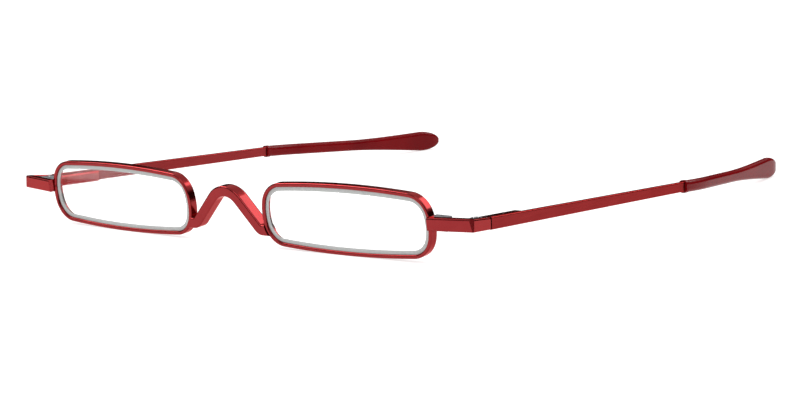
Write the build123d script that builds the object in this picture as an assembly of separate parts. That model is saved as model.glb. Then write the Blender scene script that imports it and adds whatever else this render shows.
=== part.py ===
"""Slim folding reading glasses: metal rims, saddle bridge, spring hinges and straight temples.

The front is drawn upright, with +X to the wearer's left, +Y back along the temples and +Z up, and
the lens centres at height 0. The whole assembly is then tilted until the rims and the temple tips
stand on one level surface, with the origin under the middle of the box. Sizes are millimetres and
degrees. The left side is drawn and the right side is its mirror image, apart from the fold limits.
"""

import os
from math import atan, atan2, cos, degrees, radians, sin, tan

from build123d import *

# Rims: an outline of flat arcs, tight corners and round ends, and a flat wire section.
RIM_HALF_WIDTH = 22.5
RIM_HALF_HEIGHT = 7.38
RIM_CORNER = (16.9, 1.3)
RIM_CORNER_R = 5.45
RIM_WALL = 0.85
RIM_DEPTH = 2.0
RIM_EDGE_R = 0.3
RIM_CENTRE_X = 32.99
RIM_WRAP = 2.27
RIM_SPLIT_Z = 0.9
RIM_SPLIT_GAP = 0.16
RIM_SPLIT_REACH = 4.0
ENVELOPE_DEPTH = 6.0
PROUD = 2.0

# Lenses: +2.00 dioptre, flatter in front, with a sunk ground ring, held by a V bevel in the rim's groove.
LENS_FRONT_R = 1500.0
LENS_BACK_R = 293.0
LENS_APEX_DEPTH = 0.3
LENS_CENTRE_THICKNESS = 1.9
BEVEL_DEPTH = 1.0
BEVEL_HEIGHT = 0.4
LENS_GAP = 0.01
RING_WIDTH = 0.8
RING_SINK = 0.03

# Bridge: a saddle band with a round crown, two straight legs and toes that level out at the rims.
CROWN_R = 5.0
CROWN_Z = 3.98
BRIDGE_LEG_SLOPE = 46.4
BRIDGE_TOE_R = 1.6
BRIDGE_TOE_Z = -3.6
BRIDGE_END_X = 12.2
BRIDGE_HALF_BAND = 1.12
BRIDGE_FRONT_Y = -1.1
BRIDGE_DEPTH = 3.1
BRIDGE_FRONT_EDGE_R = 0.35
BRIDGE_BACK_EDGE_R = 0.9

# Temple frame: origin on the hinge axis, y along the temple, x outwards, z up the hinge axis.
PIVOT = (62.45, 6.6, 0.07)
TEMPLE_YAW = 1.72
TEMPLE_PITCH = 7.07
OUTER_FACE_X = 2.35
SEAM_Y = 1.6
SEAM_GAP = 0.35

# End pieces: a flat bar soldered over the rim's end, mitred at a faceted corner, then back to the seam.
END_PIECE_START_X = 55.35
END_PIECE_SWEEP = 11.0
END_PIECE_CORNER = (65.0, 2.3, 0.98)
END_PIECE_DROP = 0.07
END_PIECE_SIZE = (1.6, 2.7)
END_PIECE_CORNER_SIZE = (1.4, 2.7)
END_PIECE_SEAM_SIZE = (1.1, 2.5)
END_PIECE_EDGE_R = 0.38
CORNER_FACET_FROM_MID = 0.6
CORNER_FACET_TILT = 8.0
CORNER_FACET_CUT = 5.0

# Rim locks: two blocks behind the end piece, drawn together by one screw from below.
LOCK_X = (54.6, 59.2)
LOCK_Y = (1.45, 3.4)
LOCK_Z = (-0.6, 2.25)
LOCK_SCREW = (57.7, 2.5)
LOCK_SCREW_R = 0.45
LOCK_HEAD_R = 0.75
LOCK_HEAD_HEIGHT = 0.45
LOCK_HEAD_CHAMFER = 0.12
LOCK_THREAD_DEPTH = 1.0
LOCK_EDGE_R = 0.15

# Hinges: a fork on the front, a slider's eye between its ears and a slotted screw through both.
EYE_R = 1.1
EYE_HALF = 0.5
EYE_BORE_R = 0.55
EAR_R = 1.15
EAR_INNER_Z = 0.6
EAR_OUTER_Z = 1.25
FORK_X = (-0.75, 1.6)
FORK_BACK_Y = -3.0
FORK_WEB_Y = -1.45
HINGE_SCREW_R = 0.5
HINGE_HEAD_R = 0.82
HINGE_HEAD_HEIGHT = 0.35
HINGE_HEAD_SINK = 0.25
HINGE_HEAD_EDGE_R = 0.1
HINGE_HEAD_GAP = 0.02
SLOT_WIDTH = 0.2
SLOT_DEPTH = 0.16

# Spring box: a housing on the temple's inner face, with the slider's rod, a spring and its stops.
HOUSING_START_Y = 1.95
HOUSING_END_Y = 13.3
HOUSING_HALF = 1.15
HOUSING_TOP_BEVEL = 0.35
HOUSING_END_BEVEL = 0.45
HOUSING_BORE_R = 0.85
HOUSING_BORE_END_Y = 12.5
DIMPLE_Y = 2.9
DIMPLE_R = 0.36
DIMPLE_DEPTH = 0.22
NECK_HALF_WIDTH = 0.7
NECK_END_Y = 1.85
ROD_R = 0.42
ROD_END_Y = 11.4
ROD_IN_NECK = 0.1
BUSH_LENGTH = 1.3
BUSH_BORE_R = 0.48
STOP_LENGTH = 1.0
STOP_R = 0.78
SPRING_WIRE_R = 0.1
SPRING_MEAN_R = 0.64
SPRING_TURNS = 11
SPRING_END_GAP = 0.05

# Temple bars: flat, lower towards the tip, with a thin core wire inside the tip.
BAR_THICKNESS = 1.2
BAR_LENGTH = 67.9
BAR_HEIGHT = (2.6, 2.1)
BAR_EDGE_R = 0.28
CORE_THICKNESS = 0.7
CORE_HEIGHT = 1.3
CORE_LENGTH = 34.0
CORE_EDGE_R = 0.15

# Temple tips: a slim sleeve that turns inwards and spreads to a round-ended paddle.
TIP_LENGTH = 51.3
TIP_TURN = 12.3
TIP_DROP = 1.58
TIP_TURN_LENGTH = 10.0
TIP_COLLAR_STATIONS = (0.0, 0.9, 1.2)
TIP_TURN_STATIONS = (1.2, 4.0, 7.0, 10.0)
TIP_SLEEVE_STATIONS = (10.0, 24.0)
TIP_FLARE_STEPS = 14
TIP_ROUND_STEPS = 9
TIP_LAST_STATION = 51.1
TIP_SLEEVE_HEIGHT = 2.55
TIP_COLLAR_HEIGHT = 2.75
TIP_PADDLE_HEIGHT = 4.7
TIP_FLARE = (24.0, 46.0)
TIP_ROUND_START = 45.6
TIP_THICKNESS = (2.2, 1.9)
TIP_EDGE_SHARE = 0.42
TIP_COLLAR_LENGTH = 1.0
TIP_FLARE_BULGE = 0.6
TIP_END_THINNING = 0.75

REST_TILT_GUESS = 5.0
TILT_STEPS = 3


# ---------------------------------------------------------------- rims and lenses

def rim_radii():
    """Radii of the flat arcs and of the end arcs, each tangent to the corner arc."""
    x, z = RIM_CORNER
    above = RIM_HALF_HEIGHT - z
    beside = RIM_HALF_WIDTH - x
    flat = (x**2 + above**2 - RIM_CORNER_R**2) / (2 * (above - RIM_CORNER_R))
    end = (beside**2 + z**2 - RIM_CORNER_R**2) / (2 * (beside - RIM_CORNER_R))
    return flat, end


def rim_outline(inset):
    """Face of the rim's outline in its own plane, drawn in by an inset."""
    x, z = RIM_CORNER
    flat_r, end_r = rim_radii()
    top_centre_z = RIM_HALF_HEIGHT - flat_r
    end_centre_x = RIM_HALF_WIDTH - end_r
    end_angle = degrees(atan2(z, x - end_centre_x))
    flat_angle = degrees(atan2(z - top_centre_z, x))
    edges = []
    for turn in (0, 180):
        spin = Rotation(0, 0, turn)
        end = CenterArc((end_centre_x, 0), end_r - inset, -end_angle, 2 * end_angle)
        upper = CenterArc((x, z), RIM_CORNER_R - inset, end_angle, flat_angle - end_angle)
        top = CenterArc((0, top_centre_z), flat_r - inset, flat_angle, 180 - 2 * flat_angle)
        lower = CenterArc((x, -z), RIM_CORNER_R - inset, -flat_angle, flat_angle - end_angle)
        edges += [spin * end, spin * upper, spin * top, spin * lower]
    return make_face(Wire(edges))


def rim_plane():
    """Plane of the left rim's front face, with its normal towards the viewer of the front."""
    wrap = radians(RIM_WRAP)
    across = (cos(wrap), sin(wrap), 0)
    forwards = (sin(wrap), -cos(wrap), 0)
    return Plane(origin=(RIM_CENTRE_X, 0, 0), x_dir=across, z_dir=forwards)


def slab(inset, front, back):
    """The rim's outline as a slab between two depths behind the front face."""
    return Pos(0, 0, -back) * extrude(rim_outline(inset), back - front)


def bevel_wedge(gap):
    """The lens edge's V, widest at the bevel's depth; the groove in the rim is the same with no gap."""
    apex = RIM_WALL - BEVEL_HEIGHT + gap
    face = rim_outline(apex)
    ahead = extrude(face, BEVEL_HEIGHT, taper=45)
    behind = mirror(ahead, about=Plane.XY)
    return Pos(0, 0, -BEVEL_DEPTH) * (ahead + behind)


def split_box():
    """The thin cut at the rim's outer end, between the two lock blocks."""
    box = Box(RIM_SPLIT_REACH, RIM_SPLIT_GAP, 2 * RIM_DEPTH + RIM_SPLIT_REACH)
    return Pos(RIM_HALF_WIDTH, RIM_SPLIT_Z, -RIM_DEPTH) * box


def rim():
    """The left rim: a flat wire bent round the lens, grooved inside and split at its outer end."""
    ring = slab(0, 0, RIM_DEPTH) - slab(RIM_WALL, -PROUD, RIM_DEPTH + PROUD)
    by_depth = ring.edges().group_by(Axis.Z)
    ring = fillet(by_depth[0] + by_depth[-1], RIM_EDGE_R)
    ring = ring - bevel_wedge(0) - split_box()
    return rim_plane() * ring


def lens():
    """The left lens: two shallow curved faces, a V bevel round its edge and a ground ring in front."""
    edge = RIM_WALL + LENS_GAP
    back_apex = LENS_APEX_DEPTH + LENS_CENTRE_THICKNESS
    front_ball = Pos(0, 0, -LENS_APEX_DEPTH - LENS_FRONT_R) * Sphere(LENS_FRONT_R)
    back_ball = Pos(0, 0, -back_apex + LENS_BACK_R) * Sphere(LENS_BACK_R)
    clear = slab(edge + RING_WIDTH, -PROUD, back_apex + PROUD) & front_ball
    ring = slab(edge, -PROUD, back_apex + PROUD) & (Pos(0, 0, -RING_SINK) * front_ball)
    body = (clear + ring) & back_ball
    return rim_plane() * (body + bevel_wedge(LENS_GAP))


def rim_envelope():
    """Everything inside the rim's outer face, to shape what is soldered against it."""
    return rim_plane() * slab(0, 0, ENVELOPE_DEPTH)


# ---------------------------------------------------------------- bridge and rim locks

def bridge_side(side):
    """Outline edges of one leg and its toe, and the two points where they join the crown."""
    slope = radians(BRIDGE_LEG_SLOPE)
    half, toe_r = BRIDGE_HALF_BAND, BRIDGE_TOE_R
    outwards = Vector(sin(slope), cos(slope))
    bisector = Vector(-sin(slope / 2), -cos(slope / 2))
    downwards = Vector(0, -1)
    crown_centre = Vector(0, CROWN_Z - CROWN_R)
    leg_start = crown_centre + outwards * CROWN_R
    leg_end_z = BRIDGE_TOE_Z + toe_r * (1 - cos(slope))
    leg_end = Vector(leg_start.X + (leg_start.Y - leg_end_z) / tan(slope), leg_end_z)
    toe_centre = leg_end + outwards * toe_r
    edges = []
    ends = []
    for shift in (half, -half):
        radius = toe_r - shift
        points = [leg_start + outwards * shift, toe_centre - outwards * radius]
        points += [toe_centre + bisector * radius, toe_centre + downwards * radius]
        points.append(Vector(BRIDGE_END_X, points[-1].Y))
        points = [Vector(side * point.X, point.Y) for point in points]
        edges.append(Line(points[0], points[1]))
        edges.append(ThreePointArc(*points[1:4]))
        edges.append(Line(points[3], points[4]))
        ends.append(points[4])
    edges.append(Line(*ends))
    return edges


def bridge():
    """The saddle bridge: crown, legs and toes as one band, with rounder edges at the back."""
    edges = bridge_side(1) + bridge_side(-1)
    for radius in (CROWN_R + BRIDGE_HALF_BAND, CROWN_R - BRIDGE_HALF_BAND):
        centre = (0, CROWN_Z - CROWN_R)
        edges.append(CenterArc(centre, radius, 90 - BRIDGE_LEG_SLOPE, 2 * BRIDGE_LEG_SLOPE))
    face = make_face(Wire(edges))
    front = Plane(origin=(0, BRIDGE_FRONT_Y, 0), x_dir=(1, 0, 0), z_dir=(0, -1, 0))
    band = front * extrude(face, -BRIDGE_DEPTH)
    band = fillet(band.faces().sort_by(Axis.Y)[0].edges(), BRIDGE_FRONT_EDGE_R)
    band = fillet(band.faces().sort_by(Axis.Y)[-1].edges(), BRIDGE_BACK_EDGE_R)
    left = rim_plane() * slab(0, -PROUD, ENVELOPE_DEPTH)
    return band - left - mirror(left, about=Plane.YZ)


def lock_block(z_range):
    """One half of the rim lock, soldered to the rim's end behind the end piece."""
    size = (LOCK_X[1] - LOCK_X[0], LOCK_Y[1] - LOCK_Y[0], z_range[1] - z_range[0])
    centre = ((LOCK_X[0] + LOCK_X[1]) / 2, (LOCK_Y[0] + LOCK_Y[1]) / 2, (z_range[0] + z_range[1]) / 2)
    block = Pos(*centre) * Box(*size)
    corners = block.edges().filter_by(Axis.Z).group_by(Axis.X)[-1]
    return fillet(corners, LOCK_EDGE_R) - rim_envelope()


def upper_lock():
    """The upper half, with a blind thread for the screw."""
    block = lock_block((RIM_SPLIT_Z + RIM_SPLIT_GAP / 2, LOCK_Z[1]))
    hole = Pos(*LOCK_SCREW, RIM_SPLIT_Z) * Cylinder(LOCK_SCREW_R, 2 * LOCK_THREAD_DEPTH)
    return block - hole


def lower_lock():
    """The lower half, with a through hole and a seat for the screw's head."""
    block = lock_block((LOCK_Z[0], RIM_SPLIT_Z - RIM_SPLIT_GAP / 2))
    hole = Pos(*LOCK_SCREW, 0) * Cylinder(LOCK_SCREW_R, 2 * RIM_DEPTH)
    seat = Pos(*LOCK_SCREW, LOCK_Z[0]) * Cylinder(LOCK_HEAD_R, 2 * LOCK_HEAD_HEIGHT)
    return block - hole - seat


def slot_cut(head_r, z, direction):
    """A screwdriver slot across a head whose face is at z."""
    return Pos(0, 0, z - direction * SLOT_DEPTH / 2) * Box(3 * head_r, SLOT_WIDTH, SLOT_DEPTH)


def rim_screw():
    """The rim lock's screw, head down."""
    length = RIM_SPLIT_Z + LOCK_THREAD_DEPTH - LOCK_Z[0]
    shank = Cylinder(LOCK_SCREW_R, length, align=(Align.CENTER, Align.CENTER, Align.MIN))
    head = Cylinder(LOCK_HEAD_R, LOCK_HEAD_HEIGHT, align=(Align.CENTER, Align.CENTER, Align.MIN))
    head = chamfer(head.edges().sort_by(Axis.Z)[0], LOCK_HEAD_CHAMFER)
    return Pos(*LOCK_SCREW, LOCK_Z[0]) * (shank + head - slot_cut(LOCK_HEAD_R, 0, -1))


# ---------------------------------------------------------------- temple frame

def temple_place():
    """Location that carries the temple frame to its place on the left of the front."""
    yaw, pitch = radians(TEMPLE_YAW), radians(TEMPLE_PITCH)
    along = Vector(-sin(yaw) * cos(pitch), cos(yaw) * cos(pitch), -sin(pitch))
    out = Vector(cos(yaw), sin(yaw), 0)
    return Plane(origin=PIVOT, x_dir=out, z_dir=out.cross(along)).location


def rounded_section(centre, heading, fall, width, height, corner):
    """A rounded rectangle across a path that heads this way in plan and falls at this angle."""
    turn, drop = radians(heading), radians(fall)
    along = Vector(cos(turn) * cos(drop), sin(turn) * cos(drop), -sin(drop))
    side = Vector(sin(turn), -cos(turn), 0)
    return Plane(origin=centre, x_dir=side, z_dir=along) * RectangleRounded(width, height, corner)


def end_piece():
    """The left end piece: two straight runs mitred at the corner, lapped over the rim's front edge."""
    corner = Vector(*END_PIECE_CORNER)
    run = corner.X - END_PIECE_START_X
    start = corner - Vector(run, run * tan(radians(END_PIECE_SWEEP)), -END_PIECE_DROP)
    seam_mid_x = OUTER_FACE_X - END_PIECE_SEAM_SIZE[0] / 2
    seam = (temple_place() * Pos(seam_mid_x, SEAM_Y, 0)).position
    back_heading = degrees(atan2(seam.Y - corner.Y, seam.X - corner.X))
    mitre = (END_PIECE_SWEEP + back_heading) / 2
    mitre_width = END_PIECE_CORNER_SIZE[0] / cos(radians(mitre - END_PIECE_SWEEP))
    sections = [
        rounded_section(start, END_PIECE_SWEEP, 0, *END_PIECE_SIZE, END_PIECE_EDGE_R),
        rounded_section(corner, mitre, 0, mitre_width, END_PIECE_CORNER_SIZE[1], END_PIECE_EDGE_R),
        rounded_section(seam, 90 + TEMPLE_YAW, TEMPLE_PITCH, *END_PIECE_SEAM_SIZE, END_PIECE_EDGE_R),
    ]
    outwards = Vector(sin(radians(mitre)), -cos(radians(mitre)), tan(radians(CORNER_FACET_TILT)))
    facet = Plane(origin=corner + outwards.normalized() * CORNER_FACET_FROM_MID, z_dir=outwards)
    size = CORNER_FACET_CUT
    waste = facet * Pos(0, 0, size / 2) * Box(size, size, size)
    return loft(sections, ruled=True) - waste - rim_envelope()


# ---------------------------------------------------------------- hinge parts, in the temple frame

def ear(low, high):
    """One ear of the fork, round at the hinge axis."""
    height = high - low
    mid_x, mid_z = sum(FORK_X) / 2, (low + high) / 2
    plate = Pos(mid_x, FORK_BACK_Y / 2, mid_z) * Box(FORK_X[1] - FORK_X[0], -FORK_BACK_Y, height)
    return plate + Pos(0, 0, mid_z) * Cylinder(EAR_R, height)


def front_hinge():
    """The fork soldered inside the end piece: two ears and the web behind them."""
    size = (FORK_X[1] - FORK_X[0], FORK_WEB_Y - FORK_BACK_Y, 2 * EAR_OUTER_Z)
    web = Pos(sum(FORK_X) / 2, (FORK_BACK_Y + FORK_WEB_Y) / 2, 0) * Box(*size)
    fork = ear(EAR_INNER_Z, EAR_OUTER_Z) + ear(-EAR_OUTER_Z, -EAR_INNER_Z) + web
    bore = Cylinder(HINGE_SCREW_R, 3 * EAR_OUTER_Z)
    seat = Pos(0, 0, EAR_OUTER_Z) * Cylinder(HINGE_HEAD_R + HINGE_HEAD_GAP, 2 * HINGE_HEAD_SINK)
    return fork - bore - seat


def hinge_screw():
    """The hinge's screw, head up, threaded into the lower ear."""
    head_low = EAR_OUTER_Z - HINGE_HEAD_SINK
    head_high = head_low + HINGE_HEAD_HEIGHT
    bottom = (Align.CENTER, Align.CENTER, Align.MIN)
    shank = Pos(0, 0, -EAR_OUTER_Z) * Cylinder(HINGE_SCREW_R, head_low + EAR_OUTER_Z, align=bottom)
    head = Pos(0, 0, head_low) * Cylinder(HINGE_HEAD_R, HINGE_HEAD_HEIGHT, align=bottom)
    head = fillet(head.edges().sort_by(Axis.Z)[-1], HINGE_HEAD_EDGE_R)
    return shank + head - slot_cut(HINGE_HEAD_R, head_high, 1)


def along_y(radius, start, end):
    """A cylinder round the rod's axis between two distances behind the hinge axis."""
    return Pos(0, (start + end) / 2, 0) * Rotation(90, 0, 0) * Cylinder(radius, end - start)


def hinge_slider():
    """The eye on the hinge screw, its neck and the rod that runs back into the housing."""
    eye = Cylinder(EYE_R, 2 * EYE_HALF)
    neck = Pos(0, NECK_END_Y / 2, 0) * Box(2 * NECK_HALF_WIDTH, NECK_END_Y, 2 * EYE_HALF)
    rod = along_y(ROD_R, NECK_END_Y - ROD_IN_NECK, ROD_END_Y)
    return eye + neck + rod - Cylinder(EYE_BORE_R, 3 * EYE_HALF)


def guide_bush():
    """The bush pressed into the housing's mouth, which guides the rod and holds the spring."""
    bush = along_y(HOUSING_BORE_R, HOUSING_START_Y, HOUSING_START_Y + BUSH_LENGTH)
    return bush - along_y(BUSH_BORE_R, 0, HOUSING_END_Y)


def spring_stop():
    """The collar on the rod's end that pulls on the spring."""
    return along_y(STOP_R, ROD_END_Y - STOP_LENGTH, ROD_END_Y) - along_y(ROD_R, 0, 2 * ROD_END_Y)


def hinge_spring():
    """The coil spring between the bush and the stop."""
    start = HOUSING_START_Y + BUSH_LENGTH + SPRING_WIRE_R + SPRING_END_GAP
    end = ROD_END_Y - STOP_LENGTH - SPRING_WIRE_R - SPRING_END_GAP
    path = Helix((end - start) / SPRING_TURNS, end - start, SPRING_MEAN_R)
    wire = Plane(origin=path @ 0, z_dir=path % 0) * Circle(SPRING_WIRE_R)
    return Pos(0, start, 0) * Rotation(-90, 0, 0) * sweep(wire, path)


def spring_housing():
    """The box on the temple's inner face, bored for the spring, with the dimple that locks the bush."""
    length = HOUSING_END_Y - HOUSING_START_Y
    box = Pos(0, HOUSING_START_Y + length / 2, 0) * Box(2 * HOUSING_HALF, length, 2 * HOUSING_HALF)
    inner_long = box.edges().filter_by(Axis.Y).group_by(Axis.X)[0]
    box = chamfer(inner_long, HOUSING_TOP_BEVEL)
    end_edge = box.edges().filter_by(Axis.Z).group_by(Axis.Y)[-1].sort_by(Axis.X)[0]
    box = chamfer(end_edge, HOUSING_END_BEVEL)
    dimple = Pos(-HOUSING_HALF, DIMPLE_Y, 0) * Rotation(0, 90, 0) * Cylinder(DIMPLE_R, 2 * DIMPLE_DEPTH)
    return box - along_y(HOUSING_BORE_R, 0, HOUSING_BORE_END_Y) - dimple


# ---------------------------------------------------------------- temple bar and tip

def tip_place(s):
    """Point and heading of the tip's path, s behind the joint: an inward arc, then straight."""
    turn = radians(TIP_TURN)
    radius = TIP_TURN_LENGTH / turn
    swept = min(s, TIP_TURN_LENGTH) / radius
    x = -radius * (1 - cos(swept))
    y = radius * sin(swept)
    rest = max(s - TIP_TURN_LENGTH, 0)
    x -= rest * sin(turn)
    y += rest * cos(turn)
    z = -s * tan(radians(TIP_DROP))
    mid_x = OUTER_FACE_X - BAR_THICKNESS / 2
    return (mid_x + x, BAR_LENGTH + y, z), 90 + degrees(swept)


def tip_height(s):
    """Height of the tip: a collar, a slim sleeve, then a flare that ends in a round paddle."""
    start, full = TIP_FLARE
    share = min(max((s - start) / (full - start), 0), 1)
    rise = share**2 * (1 + TIP_FLARE_BULGE * (1 - share))
    height = TIP_SLEEVE_HEIGHT + (TIP_PADDLE_HEIGHT - TIP_SLEEVE_HEIGHT) * rise
    if s < TIP_COLLAR_LENGTH:
        height = TIP_COLLAR_HEIGHT
    if s > TIP_ROUND_START:
        past = (s - TIP_ROUND_START) / (TIP_LENGTH - TIP_ROUND_START)
        height *= (1 - past**2) ** 0.5
    return height


def tip_thickness(s):
    """Thickness of the tip, a little less at the paddle and round at its very end."""
    first, last = TIP_THICKNESS
    thickness = first + (last - first) * s / TIP_LENGTH
    past = max(s - TIP_ROUND_START, 0) / (TIP_LENGTH - TIP_ROUND_START)
    return thickness * (1 - TIP_END_THINNING * past**4)


def core():
    """The core wire inside the tip: round the turn, then straight."""
    sections = []
    third = TIP_TURN_LENGTH / 3
    for s in (0, third, 2 * third, TIP_TURN_LENGTH, CORE_LENGTH):
        centre, heading = tip_place(s)
        size = (CORE_THICKNESS, CORE_HEIGHT, CORE_EDGE_R)
        sections.append(rounded_section(centre, heading, TIP_DROP, *size))
    return loft(sections[:-1]) + loft(sections[-2:], ruled=True)


def temple_bar():
    """The flat bar from the seam to the tip, with its core wire."""
    start = SEAM_Y + SEAM_GAP
    high, low = BAR_HEIGHT[0] / 2, BAR_HEIGHT[1] / 2
    corners = [(start, high), (start, -high), (BAR_LENGTH, -low), (BAR_LENGTH, low)]
    side = Plane.YZ.offset(OUTER_FACE_X - BAR_THICKNESS) * make_face(Polyline(*corners, close=True))
    bar = extrude(side, BAR_THICKNESS)
    long_edges = [edge for edge in bar.edges() if edge.length > BAR_LENGTH / 2]
    return fillet(long_edges, BAR_EDGE_R) + core()


def tip_section(s):
    """Rounded section of the tip, s behind the joint."""
    centre, heading = tip_place(s)
    height, thickness = tip_height(s), tip_thickness(s)
    corner = TIP_EDGE_SHARE * min(height, thickness)
    return rounded_section(centre, heading, TIP_DROP, thickness, height, corner)


def temple_tip():
    """The moulded tip, square to the bar where it starts and hollow for the core wire."""
    collar = loft([tip_section(s) for s in TIP_COLLAR_STATIONS], ruled=True)
    turn = loft([tip_section(s) for s in TIP_TURN_STATIONS])
    sleeve = loft([tip_section(s) for s in TIP_SLEEVE_STATIONS], ruled=True)
    flare = [TIP_FLARE[0] + i * (TIP_ROUND_START - TIP_FLARE[0]) / TIP_FLARE_STEPS for i in range(TIP_FLARE_STEPS)]
    reach = TIP_LAST_STATION - TIP_ROUND_START
    end = [TIP_ROUND_START + reach * sin(radians(90 * i / TIP_ROUND_STEPS)) for i in range(TIP_ROUND_STEPS + 1)]
    paddle = loft([tip_section(s) for s in flare + end], ruled=True)
    before_joint = Pos(0, BAR_LENGTH / 2, 0) * Box(TIP_LENGTH, BAR_LENGTH, TIP_LENGTH)
    return collar + turn + sleeve + paddle - before_joint - core()


# ---------------------------------------------------------------- assembly

def left_side():
    """Every piece of the left side, in the upright frame."""
    place = temple_place()
    bar = end_piece()
    fixed = {
        "rim": rim(),
        "lens": lens(),
        "upper_closing_block": upper_lock() - bar,
        "lower_closing_block": lower_lock() - bar,
        "rim_screw": rim_screw(),
        "end_piece": bar,
        "front_hinge": place * front_hinge() - bar,
    }
    carried = {
        "hinge_screw": hinge_screw(),
        "hinge_slider": hinge_slider(),
        "spring_stop": spring_stop(),
        "hinge_spring": hinge_spring(),
        "guide_bush": guide_bush(),
        "spring_housing": spring_housing(),
        "temple_bar": temple_bar(),
        "temple_tip": temple_tip(),
    }
    return fixed | {name: place * shape for name, shape in carried.items()}


def upright_parts():
    """All pieces by node name, in the upright frame."""
    parts = {"bridge": bridge()}
    for name, shape in left_side().items():
        parts["left_" + name] = shape
        parts["right_" + name] = mirror(shape, about=Plane.YZ)
    return parts


def rest_location(parts):
    """Location that stands the rims and the tips on one level and puts the origin under the middle."""
    tilt = REST_TILT_GUESS
    for _ in range(TILT_STEPS):
        turned = Rotation(tilt, 0, 0)
        rim_box = (turned * parts["left_rim"]).bounding_box()
        tip_box = (turned * parts["left_temple_tip"]).bounding_box()
        tilt += degrees(atan((rim_box.min.Z - tip_box.min.Z) / (tip_box.max.Y - rim_box.min.Y)))
    turned = Rotation(tilt, 0, 0)
    box = Compound(children=[turned * shape for shape in parts.values()]).bounding_box()
    shift = Pos(0, -(box.min.Y + box.max.Y) / 2, -box.min.Z)
    return shift * turned


def main():
    """Write one STEP file for each node."""
    os.makedirs("parts", exist_ok=True)
    parts = upright_parts()
    rest = rest_location(parts)
    print("rest tilt and shift", rest)
    for name, shape in parts.items():
        export_step(rest * shape, f"parts/{name}.step")


if __name__ == "__main__":
    main()
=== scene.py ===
"""Slim folding reading glasses in red anodised metal, standing open on a pale floor."""

import math

import bmesh
import bpy
from mathutils import Matrix, Vector


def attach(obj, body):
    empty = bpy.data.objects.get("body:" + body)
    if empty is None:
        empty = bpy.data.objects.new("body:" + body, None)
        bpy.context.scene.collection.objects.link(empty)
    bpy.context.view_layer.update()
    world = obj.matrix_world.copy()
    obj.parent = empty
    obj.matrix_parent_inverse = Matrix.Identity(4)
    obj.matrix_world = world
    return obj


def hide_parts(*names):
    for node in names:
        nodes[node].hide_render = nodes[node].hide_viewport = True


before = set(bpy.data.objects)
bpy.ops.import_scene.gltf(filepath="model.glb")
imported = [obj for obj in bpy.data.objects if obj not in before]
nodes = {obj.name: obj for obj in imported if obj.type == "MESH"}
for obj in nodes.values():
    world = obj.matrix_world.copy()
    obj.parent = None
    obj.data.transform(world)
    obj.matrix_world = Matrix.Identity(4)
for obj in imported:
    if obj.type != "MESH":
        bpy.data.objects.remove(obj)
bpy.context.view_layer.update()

MM = 0.001
MICRON = 0.000001
SIDES = ("left", "right")

# A CAD mesh is loose triangles: corners closer together than this are one corner.
MERGE_DISTANCE = 0.5 * MICRON

# Lens faces that meet at less than this are one surface, and the two largest surfaces are clear.
LENS_CREASE = math.radians(3.0)
CLEAR_SURFACES = 2
CLEAR_SLOT = 0
GROUND_SLOT = 1

# Camera: its direction and roll in degrees, where it looks, from how far, and its lens in mm.
CAMERA_AZIMUTH = 42.32
CAMERA_ELEVATION = 9.07
CAMERA_ROLL = -2.73
CAMERA_TARGET = Vector((-4.11, -3.67, 0.24)) * MM
CAMERA_DISTANCE = 694.4 * MM
CAMERA_LENS = 139.85
CAMERA_SENSOR = 36.0
CAMERA_CLIP = (0.01, 50.0)

# Surroundings: the sines of the elevations where the dark horizon ends and the bright sky starts.
WORLD_DARK_TO = 0.3
WORLD_BRIGHT_FROM = 0.48
WORLD_DARK = (0.015, 0.015, 0.015, 1.0)
WORLD_BRIGHT = (0.8, 0.8, 0.8, 1.0)
WORLD_STRENGTH = 1.0

# Softboxes: place, width and height in metres, and power in watts.
SOFTBOXES = {
    "back_right": ((0.32, 0.88, 0.78), (0.8, 0.5), 4.4),
    "left_high": ((-0.85, -0.2, 0.9), (0.8, 0.5), 7.0),
    "front_high": ((0.2, -0.9, 1.0), (0.7, 0.5), 3.0),
}

# Floor: how far it reaches each way from its middle in metres, its cells, and a glow that keeps it pale.
FLOOR_REACH = 3.0
FLOOR_CELLS = 8
FLOOR_GLOW = 0.7

# Finishes: each main colour and, where the finish is uneven, the deeper one that it drifts to.
WHITE = (1.0, 1.0, 1.0, 1.0)
ANODISED_RED = (0.26, 0.014, 0.016, 1.0)
ANODISED_RED_DEEP = (0.24, 0.010, 0.012, 1.0)
SATIN_RED = (0.25, 0.026, 0.027, 1.0)
SATIN_RED_DEEP = (0.23, 0.023, 0.024, 1.0)
EDGE_RED = (1.0, 0.35, 0.33, 1.0)
TIP_RED = (0.2, 0.003, 0.005, 1.0)
TIP_RED_DEEP = (0.15, 0.002, 0.004, 1.0)
NICKEL_GREY = (0.42, 0.42, 0.44, 1.0)
SCREW_STEEL = (0.62, 0.62, 0.64, 1.0)
SPRING_STEEL = (0.36, 0.37, 0.39, 1.0)
LENS_TINT = (0.97, 0.985, 0.98, 1.0)
GROUND_EDGE = (0.54, 0.55, 0.54, 1.0)
GROUND_EDGE_DEEP = (0.47, 0.48, 0.47, 1.0)
FLOOR_WHITE = (0.5, 0.5, 0.5, 1.0)

# Most of a noise lies between these two values, so they are the ends of what is spread out.
NOISE_LOW = 0.3
NOISE_HIGH = 0.7


# ---------------------------------------------------------------- materials

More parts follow.
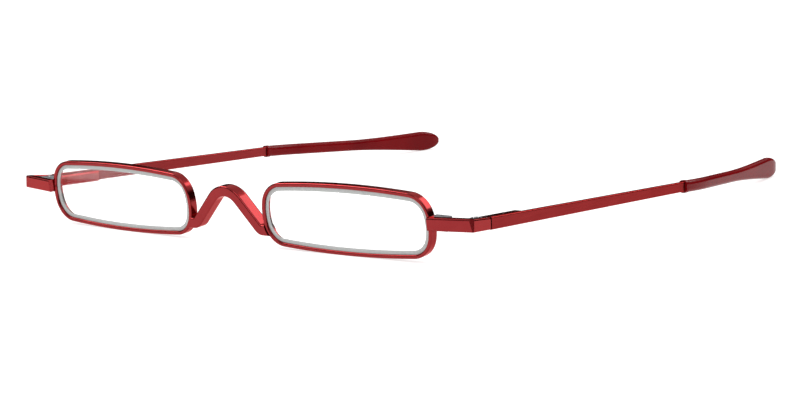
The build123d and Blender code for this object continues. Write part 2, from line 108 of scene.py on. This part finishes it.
class Finish:
    """A new node material with one Principled shader, and short ways to add its detail."""

    def __init__(self, name, colour, metallic, roughness):
        self.material = bpy.data.materials.new(name)
        self.material.use_nodes = True
        self.tree = self.material.node_tree
        self.shader = self.tree.nodes["Principled BSDF"]
        self.set("Base Color", colour)
        self.set("Metallic", metallic)
        self.set("Roughness", roughness)
        self.place = self.add("ShaderNodeTexCoord").outputs["Object"]

    def set(self, socket, value):
        self.shader.inputs[socket].default_value = value

    def add(self, kind):
        return self.tree.nodes.new(kind)

    def link(self, output, target):
        self.tree.links.new(output, target)

    def noise(self, scale, detail=3.0, stretch=(1, 1, 1)):
        """Noise on the object's own coordinates, which stretch multiplies: under 1 draws it out."""
        mapping = self.add("ShaderNodeMapping")
        mapping.inputs["Scale"].default_value = stretch
        self.link(self.place, mapping.inputs["Vector"])
        noise = self.add("ShaderNodeTexNoise")
        noise.inputs["Scale"].default_value = scale
        noise.inputs["Detail"].default_value = detail
        self.link(mapping.outputs["Vector"], noise.inputs["Vector"])
        return noise.outputs["Fac"]

    def spread(self, noise, low, high):
        """A noise spread out between two values."""
        span = self.add("ShaderNodeMapRange")
        span.inputs["From Min"].default_value = NOISE_LOW
        span.inputs["From Max"].default_value = NOISE_HIGH
        span.inputs["To Min"].default_value = low
        span.inputs["To Max"].default_value = high
        self.link(noise, span.inputs["Value"])
        return span.outputs["Result"]

    def vary_roughness(self, noise, low, high):
        self.link(self.spread(noise, low, high), self.shader.inputs["Roughness"])

    def vary_colour(self, noise, first, second):
        mix = self.add("ShaderNodeMix")
        mix.data_type = "RGBA"
        mix.inputs["A"].default_value = first
        mix.inputs["B"].default_value = second
        self.link(self.spread(noise, 0.0, 1.0), mix.inputs["Factor"])
        self.link(mix.outputs["Result"], self.shader.inputs["Base Color"])

    def bump(self, noise, distance, strength):
        bump = self.add("ShaderNodeBump")
        bump.inputs["Distance"].default_value = distance
        bump.inputs["Strength"].default_value = strength
        self.link(noise, bump.inputs["Height"])
        self.link(bump.outputs["Normal"], self.shader.inputs["Normal"])


def anodised_red():
    """Red dye under a clear anodised skin, with a faint cloud in the dye and a fine grain."""
    finish = Finish("anodised_red", ANODISED_RED, metallic=1.0, roughness=0.16)
    cloud = finish.noise(scale=260.0)
    grain = finish.noise(scale=5200.0, detail=2.0)
    finish.vary_colour(cloud, ANODISED_RED, ANODISED_RED_DEEP)
    finish.vary_roughness(grain, low=0.13, high=0.21)
    finish.bump(grain, distance=1 * MICRON, strength=0.2)
    finish.set("Coat Weight", 0.35)
    finish.set("Coat Roughness", 0.08)
    finish.set("Specular Tint", EDGE_RED)
    return finish.material


def satin_red():
    """The temples' satin side of the same dye, brushed lengthways."""
    finish = Finish("satin_red", SATIN_RED, metallic=1.0, roughness=0.3)
    cloud = finish.noise(scale=180.0)
    brushed = finish.noise(scale=3800.0, stretch=(1, 0.04, 1))
    finish.vary_colour(cloud, SATIN_RED, SATIN_RED_DEEP)
    finish.vary_roughness(brushed, low=0.25, high=0.36)
    finish.bump(brushed, distance=2 * MICRON, strength=0.3)
    finish.set("Coat Weight", 0.05)
    finish.set("Coat Roughness", 0.2)
    finish.set("Specular Tint", EDGE_RED)
    return finish.material


def nickel_silver():
    """Bare grey hinge metal with faint milling marks."""
    finish = Finish("nickel_silver", NICKEL_GREY, metallic=1.0, roughness=0.32)
    marks = finish.noise(scale=900.0, detail=4.0, stretch=(1, 1, 6))
    finish.vary_roughness(marks, low=0.24, high=0.42)
    finish.bump(marks, distance=4 * MICRON, strength=0.4)
    return finish.material


def polished_steel():
    finish = Finish("screw_steel", SCREW_STEEL, metallic=1.0, roughness=0.16)
    polish = finish.noise(scale=3000.0, detail=2.0)
    finish.vary_roughness(polish, low=0.12, high=0.24)
    return finish.material


def drawn_wire():
    finish = Finish("spring_wire", SPRING_STEEL, metallic=1.0, roughness=0.3)
    finish.vary_roughness(finish.noise(scale=4000.0), low=0.22, high=0.38)
    return finish.material


def tip_plastic():
    """Deep red opaque plastic. Its index is below a real plastic's, so its gloss stays faint."""
    finish = Finish("tip_plastic", TIP_RED, metallic=0.0, roughness=0.14)
    cloud = finish.noise(scale=120.0)
    finish.vary_colour(cloud, TIP_RED, TIP_RED_DEEP)
    finish.vary_roughness(finish.noise(scale=700.0), low=0.10, high=0.18)
    finish.bump(finish.noise(scale=900.0, detail=2.0), distance=6 * MICRON, strength=0.3)
    finish.set("IOR", 1.18)
    return finish.material


def lens_clear():
    """Clear lens plastic, almost all of it see-through."""
    finish = Finish("lens_clear", LENS_TINT, metallic=0.0, roughness=0.0)
    finish.set("IOR", 1.49)
    finish.set("Transmission Weight", 1.0)
    finish.set("Alpha", 0.05)
    finish.material.use_transparent_shadow = True
    return finish.material


def lens_ground_edge():
    """The frosted ring that the grinding wheel leaves round the lens."""
    finish = Finish("lens_ground_edge", GROUND_EDGE, metallic=0.0, roughness=0.55)
    grit = finish.noise(scale=2400.0)
    finish.vary_colour(grit, GROUND_EDGE, GROUND_EDGE_DEEP)
    finish.vary_roughness(grit, low=0.45, high=0.65)
    finish.bump(grit, distance=10 * MICRON, strength=0.5)
    return finish.material


def floor_paper():
    finish = Finish("floor_paper", FLOOR_WHITE, metallic=0.0, roughness=0.9)
    finish.set("Specular IOR Level", 0.1)
    finish.set("Emission Color", WHITE)
    finish.set("Emission Strength", FLOOR_GLOW)
    return finish.material


# ---------------------------------------------------------------- CAD nodes

def paint(node, material):
    """Gives a CAD node its finish through its material slots alone."""
    for slot in nodes[node].material_slots:
        slot.link = "OBJECT"
        slot.material = material


def paint_nodes():
    """Finishes for every piece but the lenses."""
    red, satin, grey = anodised_red(), satin_red(), nickel_silver()
    steel, wire, plastic = polished_steel(), drawn_wire(), tip_plastic()
    paint("bridge", red)
    paired = {
        red: ("rim", "end_piece", "spring_housing"),
        satin: ("temple_bar",),
        grey: (
            "upper_closing_block", "lower_closing_block", "front_hinge",
            "hinge_slider", "spring_stop", "guide_bush",
        ),
        steel: ("rim_screw", "hinge_screw"),
        wire: ("hinge_spring",),
        plastic: ("temple_tip",),
    }
    for material, names in paired.items():
        for name in names:
            for side in SIDES:
                paint(f"{side}_{name}", material)


# ---------------------------------------------------------------- lenses

def into_scene(thing):
    bpy.context.scene.collection.objects.link(thing)


def copy_of(node, name):
    """A merged copy of a CAD node's mesh, for a piece that takes its place."""
    mesh = nodes[node].data.copy()
    piece = bpy.data.objects.new(name, mesh)
    into_scene(piece)
    bm = bmesh.new()
    bm.from_mesh(mesh)
    bmesh.ops.remove_doubles(bm, verts=bm.verts, dist=MERGE_DISTANCE)
    bm.to_mesh(mesh)
    bm.free()
    return piece


def smooth_surfaces(bm):
    """Groups of faces that meet without a crease."""
    surfaces, seen = [], set()
    for start in bm.faces:
        if start in seen:
            continue
        seen.add(start)
        surface, waiting = [], [start]
        while waiting:
            face = waiting.pop()
            surface.append(face)
            for edge in face.edges:
                if len(edge.link_faces) == 2 and edge.calc_face_angle() < LENS_CREASE:
                    fresh = [other for other in edge.link_faces if other not in seen]
                    seen.update(fresh)
                    waiting.extend(fresh)
        surfaces.append(surface)
    return surfaces


def area_of(surface):
    return sum(face.calc_area() for face in surface)


def make_lens(side, clear, ground):
    """The lens with its own clear front and back, and its ground edge."""
    node = f"{side}_lens"
    piece = copy_of(node, f"{side}_lens_glass")
    mesh = piece.data
    mesh.materials.clear()
    mesh.materials.append(clear)
    mesh.materials.append(ground)
    bm = bmesh.new()
    bm.from_mesh(mesh)
    largest_first = sorted(smooth_surfaces(bm), key=area_of, reverse=True)
    for rank, surface in enumerate(largest_first):
        is_clear = rank < CLEAR_SURFACES
        for face in surface:
            face.material_index = CLEAR_SLOT if is_clear else GROUND_SLOT
            face.smooth = is_clear
    bm.to_mesh(mesh)
    bm.free()
    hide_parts(node)
    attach(piece, "front")


# ---------------------------------------------------------------- studio

def make_floor():
    bm = bmesh.new()
    bmesh.ops.create_grid(bm, x_segments=FLOOR_CELLS, y_segments=FLOOR_CELLS, size=FLOOR_REACH)
    mesh = bpy.data.meshes.new("floor")
    bm.to_mesh(mesh)
    bm.free()
    floor = bpy.data.objects.new("floor", mesh)
    mesh.materials.append(floor_paper())
    into_scene(floor)


def soft_light(name, place, size, power):
    """One rectangular softbox that faces the origin."""
    light = bpy.data.lights.new(name, "AREA")
    light.shape = "RECTANGLE"
    light.size, light.size_y = size
    light.energy = power
    lamp = bpy.data.objects.new(name, light)
    lamp.location = place
    lamp.rotation_mode = "QUATERNION"
    lamp.rotation_quaternion = (-Vector(place)).to_track_quat("-Z", "Y")
    into_scene(lamp)


def make_world():
    """Surroundings that are dark round the horizon and bright overhead."""
    world = bpy.data.worlds.new("studio")
    bpy.context.scene.world = world
    world.use_nodes = True
    tree = world.node_tree
    background = tree.nodes["Background"]
    place = tree.nodes.new("ShaderNodeTexCoord")
    axes = tree.nodes.new("ShaderNodeSeparateXYZ")
    ramp = tree.nodes.new("ShaderNodeValToRGB")
    dark, bright = ramp.color_ramp.elements
    dark.position, dark.color = WORLD_DARK_TO, WORLD_DARK
    bright.position, bright.color = WORLD_BRIGHT_FROM, WORLD_BRIGHT
    tree.links.new(place.outputs["Generated"], axes.inputs["Vector"])
    tree.links.new(axes.outputs["Z"], ramp.inputs["Fac"])
    tree.links.new(ramp.outputs["Color"], background.inputs["Color"])
    background.inputs["Strength"].default_value = WORLD_STRENGTH


def make_camera():
    data = bpy.data.cameras.new("camera")
    data.lens = CAMERA_LENS
    data.sensor_width = CAMERA_SENSOR
    data.clip_start, data.clip_end = CAMERA_CLIP
    camera = bpy.data.objects.new("camera", data)
    azimuth, elevation = math.radians(CAMERA_AZIMUTH), math.radians(CAMERA_ELEVATION)
    back = Vector((
        math.sin(azimuth) * math.cos(elevation),
        -math.cos(azimuth) * math.cos(elevation),
        math.sin(elevation),
    ))
    aim = (-back).to_track_quat("-Z", "Y").to_matrix().to_4x4()
    roll = Matrix.Rotation(math.radians(CAMERA_ROLL), 4, "Z")
    camera.matrix_world = Matrix.Translation(CAMERA_TARGET + back * CAMERA_DISTANCE) @ aim @ roll
    into_scene(camera)
    bpy.context.scene.camera = camera


bpy.context.scene.view_settings.view_transform = "Standard"
make_camera()
make_world()
for light_name, (light_place, light_size, light_power) in SOFTBOXES.items():
    soft_light(light_name, light_place, light_size, light_power)
make_floor()
paint_nodes()
clear_glass, ground_glass = lens_clear(), lens_ground_edge()
for lens_side in SIDES:
    make_lens(lens_side, clear_glass, ground_glass)
